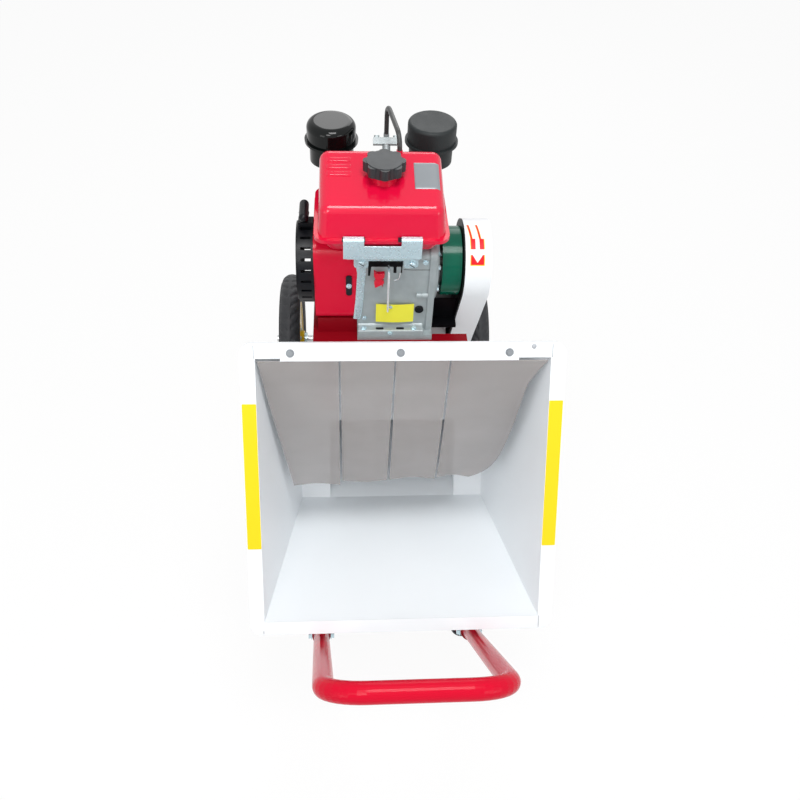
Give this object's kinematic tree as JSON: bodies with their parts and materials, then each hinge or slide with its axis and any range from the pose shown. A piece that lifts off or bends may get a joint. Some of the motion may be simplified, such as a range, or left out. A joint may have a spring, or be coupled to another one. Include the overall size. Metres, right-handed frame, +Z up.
{
  "type": "straw shredder",
  "caption": "Wheeled straw shredder: tilted sheet hopper with a strip curtain, knife rotor, belt drive, air-cooled engine and U-shaped tow handle.",
  "frame": {"origin": "on the ground, at the centre of the machine's bounding box seen from above", "axes": "+X to the belt side (right, seen from the hopper mouth), +Y to the back where the chopped straw leaves, +Z up"},
  "size_m": [0.593, 1.4168, 0.918],
  "materials": {
    "white_sheet": "gloss",
    "frame_red": "satin",
    "handle_red": "gloss",
    "tank_red": "gloss",
    "shroud_red": "gloss",
    "black_paint": "satin",
    "anthracite": "matte",
    "green_drum": "gloss",
    "yellow_rim": "gloss",
    "tyre_rubber": "matte",
    "black_rubber": "matte",
    "belt_rubber": "matte",
    "hose_rubber": "satin",
    "black_plastic": "matte",
    "cap_plastic": "gloss",
    "air_cleaner_black": "gloss",
    "clear_strip": "gloss",
    "cast_alloy": "cast",
    "zinc_steel": "zinc plated",
    "ground_steel": "ground",
    "dark_steel": "satin",
    "grey_iron": "cast",
    "lever_red": "gloss"
  },
  "bodies": {
    "machine": {"chassis_frame": "frame_red", "foot_pads": "black_rubber", "axle": "ground_steel", "axle_collars": "zinc_steel", "tow_handle": "handle_red", "frame_bolts": "zinc_steel", "hopper_funnel": "white_sheet", "mouth_frame": "white_sheet", "throat_duct": "white_sheet", "curtain_bar": "white_sheet", "curtain_screws": "zinc_steel", "chamber_cover": "white_sheet", "chamber_screen": "dark_steel", "side_plate_left": "white_sheet", "side_plate_right": "white_sheet", "bearing_left": "grey_iron", "bearing_right": "grey_iron", "bearing_bolts": "zinc_steel", "bed_knife": "ground_steel", "discharge_chute": "white_sheet", "drive_belts": "belt_rubber", "guard_back_plate": "black_paint", "belt_guard": "white_sheet", "engine_deck": "frame_red", "crankcase": "cast_alloy", "crankcase_cover": "cast_alloy", "cover_bolts": "zinc_steel", "cylinder": "cast_alloy", "cylinder_head": "cast_alloy", "rocker_cover": "cast_alloy", "fan_shroud": "shroud_red", "recoil_starter": "black_plastic", "fuel_tank": "tank_red", "tank_bracket": "zinc_steel", "tank_pads": "black_rubber", "air_cleaner": "air_cleaner_black", "intake_elbow": "black_paint", "muffler": "anthracite", "exhaust_elbow": "anthracite", "injector": "zinc_steel", "fuel_hose": "hose_rubber"},
    "left_wheel": {"tyre_left": "tyre_rubber", "rim_left": "yellow_rim"},
    "right_wheel": {"tyre_right": "tyre_rubber", "rim_right": "yellow_rim"},
    "rotor": {"rotor_shaft": "ground_steel", "rotor_drum": "dark_steel", "rotor_knives": "ground_steel", "rotor_pulley": "grey_iron"},
    "crank": {"crankshaft": "ground_steel", "flywheel": "dark_steel", "clutch_drum": "green_drum", "engine_pulley": "grey_iron"},
    "strip_1": {"curtain_strip_1": "clear_strip"},
    "strip_2": {"curtain_strip_2": "clear_strip"},
    "strip_3": {"curtain_strip_3": "clear_strip"},
    "strip_4": {"curtain_strip_4": "clear_strip"},
    "cap": {"fuel_cap": "cap_plastic"},
    "lever": {"speed_lever": "lever_red"},
    "grip": {"starter_grip": "black_plastic"}
  },
  "joints": [
    {"name": "rotor_spin", "type": "hinge", "parent": "machine", "child": "rotor", "pos_m": [0, 0.4385, 0.32], "axis": [1, 0, 0], "continuous": true},
    {"name": "crank_spin", "type": "hinge", "parent": "machine", "child": "crank", "pos_m": [0, 0.2935, 0.638], "axis": [1, 0, 0], "continuous": true},
    {"name": "left_wheel_roll", "type": "hinge", "parent": "machine", "child": "left_wheel", "pos_m": [-0.252, 0.5285, 0.18], "axis": [1, 0, 0], "continuous": true},
    {"name": "right_wheel_roll", "type": "hinge", "parent": "machine", "child": "right_wheel", "pos_m": [0.252, 0.5285, 0.18], "axis": [1, 0, 0], "continuous": true},
    {"name": "strip_1_swing", "type": "hinge", "parent": "machine", "child": "strip_1", "pos_m": [0, -0.17211, 0.78211], "axis": [1, 0, 0], "range_deg": [-15, 25]},
    {"name": "strip_2_swing", "type": "hinge", "parent": "machine", "child": "strip_2", "pos_m": [0, -0.17211, 0.78211], "axis": [1, 0, 0], "range_deg": [-15, 25]},
    {"name": "strip_3_swing", "type": "hinge", "parent": "machine", "child": "strip_3", "pos_m": [0, -0.17211, 0.78211], "axis": [1, 0, 0], "range_deg": [-15, 25]},
    {"name": "strip_4_swing", "type": "hinge", "parent": "machine", "child": "strip_4", "pos_m": [0, -0.17211, 0.78211], "axis": [1, 0, 0], "range_deg": [-15, 25]},
    {"name": "cap_turn", "type": "hinge", "parent": "machine", "child": "cap", "pos_m": [-0.0215, 0.2745, 0.88], "axis": [0, 0, 1], "range_deg": [0, 90]},
    {"name": "speed_lever_turn", "type": "hinge", "parent": "machine", "child": "lever", "pos_m": [-0.03, 0.2005, 0.642], "axis": [0, 1, 0], "range_deg": [-35, 35]},
    {"name": "starter_pull", "type": "slide", "parent": "machine", "child": "grip", "axis": [0, 0, 1], "range_m": [0, 0.04], "stiffness_N_per_m": 60, "springref_m": -0.05}
  ],
  "couplings": [
    {"joint": "crank_spin", "follows": "rotor_spin", "ratio": 1.25}
  ]
}
